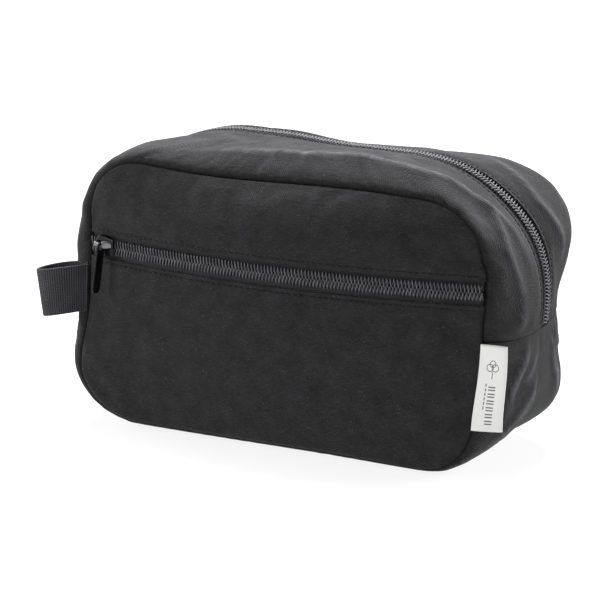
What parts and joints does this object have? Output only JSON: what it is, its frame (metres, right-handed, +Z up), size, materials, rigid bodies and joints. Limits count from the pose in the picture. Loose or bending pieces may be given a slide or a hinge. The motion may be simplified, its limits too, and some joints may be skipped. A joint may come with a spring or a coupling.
{
  "type": "shaving kit bag",
  "caption": "Soft canvas wash bag with a zipped top, a zipped front pocket, a webbing carrying loop and a side label.",
  "frame": {"origin": "centre of the flat base, on the surface that the bag stands on", "axes": "+X towards the bag's right end with the label, -Y the side with the pocket, +Z up towards the top zip"},
  "size_m": [0.2657, 0.1384, 0.1586],
  "materials": {
    "canvas": "heavy plain-weave cotton canvas, dyed black, slightly washed",
    "lining": "thin woven black polyester lining",
    "tape": "woven black polyester zip tape and binding",
    "coil": "black nylon monofilament coil, satin",
    "webbing": "ribbed black cotton webbing",
    "enamel": "black enamelled zinc casting, semi-gloss",
    "label": "white woven label, plain"
  },
  "bodies": {
    "bag": {"front_upper_panel": "canvas", "front_lower_panel": "canvas", "back_panel": "canvas", "zip_gusset_front": "canvas", "zip_gusset_rear": "canvas", "bottom_gusset": "canvas", "back_lining": "lining", "pocket_inner_wall": "lining", "zip_gusset_lining_front": "lining", "zip_gusset_lining_rear": "lining", "bottom_lining": "lining", "seam_binding_front": "tape", "seam_binding_back": "tape", "cross_seam_binding_left": "tape", "cross_seam_binding_right": "tape", "main_zip_tape_front": "tape", "main_zip_tape_rear": "tape", "main_zip_coil_front": "coil", "main_zip_coil_rear": "coil", "pocket_zip_tape_upper": "tape", "pocket_zip_tape_lower": "tape", "pocket_zip_coil_upper": "coil", "pocket_zip_coil_lower": "coil", "side_label": "label"},
    "main_slider": {"main_zip_slider": "enamel"},
    "main_puller": {"main_zip_puller": "enamel"},
    "pocket_slider": {"pocket_zip_slider": "enamel"},
    "pocket_puller": {"pocket_zip_puller": "enamel"},
    "loop": {"carry_loop": "webbing"}
  },
  "joints": [
    {"name": "main_slider_travel", "type": "hinge", "parent": "bag", "child": "main_slider", "pos_m": [-0.046, 0, 0.078], "axis": [0, 1, 0], "range_deg": [0, 85]},
    {"name": "main_puller_swing", "type": "hinge", "parent": "main_slider", "child": "main_puller", "pos_m": [-0.12935, 0, 0.0787], "axis": [0, 1, 0], "range_deg": [0, 130]},
    {"name": "pocket_slider_travel", "type": "hinge", "parent": "bag", "child": "pocket_slider", "pos_m": [0, 0.28225, 0.098], "axis": [0, 0, 1], "range_deg": [0, 33.4]},
    {"name": "pocket_puller_swing", "type": "hinge", "parent": "pocket_slider", "child": "pocket_puller", "pos_m": [-0.10533, -0.05818, 0.098], "axis": [-0.9565, 0.2918, 0], "range_deg": [0, 160]},
    {"name": "loop_swing", "type": "hinge", "parent": "bag", "child": "loop", "pos_m": [-0.1114, -0.0507, 0.0735], "axis": [0, 0, 1], "range_deg": [0, 45]}
  ]
}
